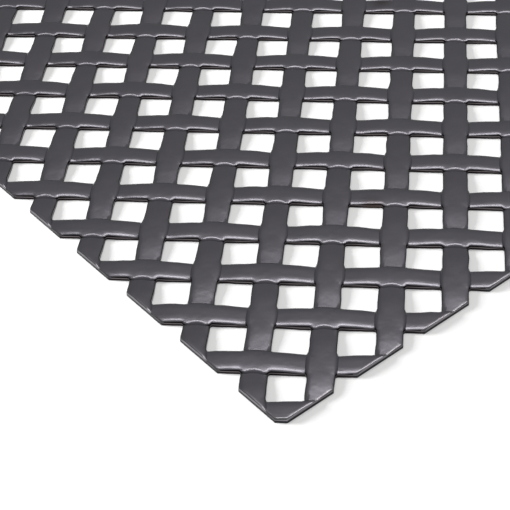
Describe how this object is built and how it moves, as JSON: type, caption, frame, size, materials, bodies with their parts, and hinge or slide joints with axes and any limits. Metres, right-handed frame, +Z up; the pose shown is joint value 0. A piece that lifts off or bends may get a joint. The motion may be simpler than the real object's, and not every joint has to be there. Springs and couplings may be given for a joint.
{
  "type": "perforated steel sheet",
  "caption": "Flat steel sheet punched with square holes in diagonal rows, the strips between them pressed into a basket-weave relief; raw stock for guards, grilles and panels.",
  "frame": {"origin": "middle of the flat underside", "axes": "+X along the long side, +Y along the short side, +Z up through the pressed face"},
  "size_m": [0.5, 0.25, 0.002],
  "materials": {
    "steel": "dark mill finish, satin"
  },
  "bodies": {
    "root": {"perforated_sheet": "steel"}
  },
  "joints": []
}
